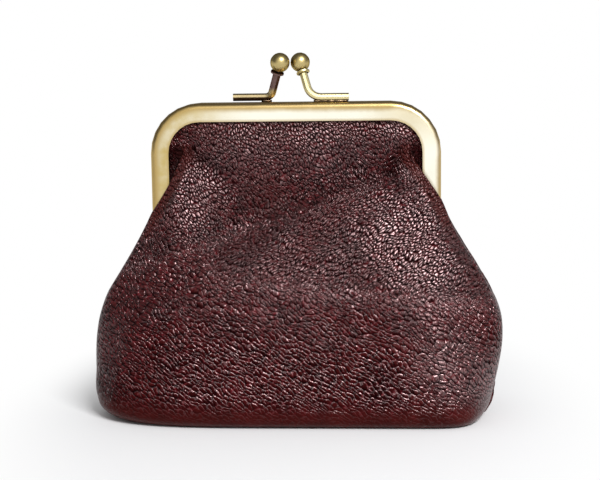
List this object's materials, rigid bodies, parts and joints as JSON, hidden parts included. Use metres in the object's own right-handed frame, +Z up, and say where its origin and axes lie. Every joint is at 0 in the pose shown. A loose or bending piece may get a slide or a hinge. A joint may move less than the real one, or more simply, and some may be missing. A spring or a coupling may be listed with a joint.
{
  "type": "kiss-lock coin purse",
  "caption": "Small leather coin purse with a hinged metal channel frame, closed by a pair of crossing ball clasps, and a boxed base it stands on.",
  "frame": {"origin": "middle of the base, on the surface that the purse stands on", "axes": "+X along the purse's width, to the right as seen from the front, +Y from the front to the rear, +Z up"},
  "size_m": [0.1198, 0.0484, 0.1068],
  "materials": {
    "frame_brass": "antique plated, satin",
    "lock_brass": "antique plated, polished",
    "rivet_brass": "antique plated, satin",
    "leather": "pebbled, semi-gloss",
    "lining": "plain woven cotton",
    "paper_cord": "twisted"
  },
  "bodies": {
    "pouch": {"pouch_front": "leather", "pouch_rear": "leather", "pouch_lining_front": "lining", "pouch_lining_rear": "lining"},
    "front_frame": {"front_frame": "frame_brass", "front_lock_arm": "lock_brass", "front_lock_collar": "lock_brass", "front_lock_ball": "lock_brass", "front_channel_cord": "paper_cord", "front_mouth_panel": "leather", "front_mouth_lining": "lining"},
    "rear_frame": {"rear_frame": "frame_brass", "rear_lock_arm": "lock_brass", "rear_lock_collar": "lock_brass", "rear_lock_ball": "lock_brass", "rear_channel_cord": "paper_cord", "rear_mouth_panel": "leather", "rear_mouth_lining": "lining", "hinge_rivet_left": "rivet_brass", "hinge_rivet_right": "rivet_brass"}
  },
  "joints": [
    {"name": "front_frame_hinge", "type": "hinge", "parent": "pouch", "child": "front_frame", "pos_m": [0, 0, 0.047], "axis": [1, 0, 0], "range_deg": [0, 45]},
    {"name": "rear_frame_hinge", "type": "hinge", "parent": "pouch", "child": "rear_frame", "pos_m": [0, 0, 0.047], "axis": [-1, 0, 0], "range_deg": [0, 45]}
  ],
  "couplings": [
    {"joint": "rear_frame_hinge", "follows": "front_frame_hinge", "ratio": 1}
  ]
}
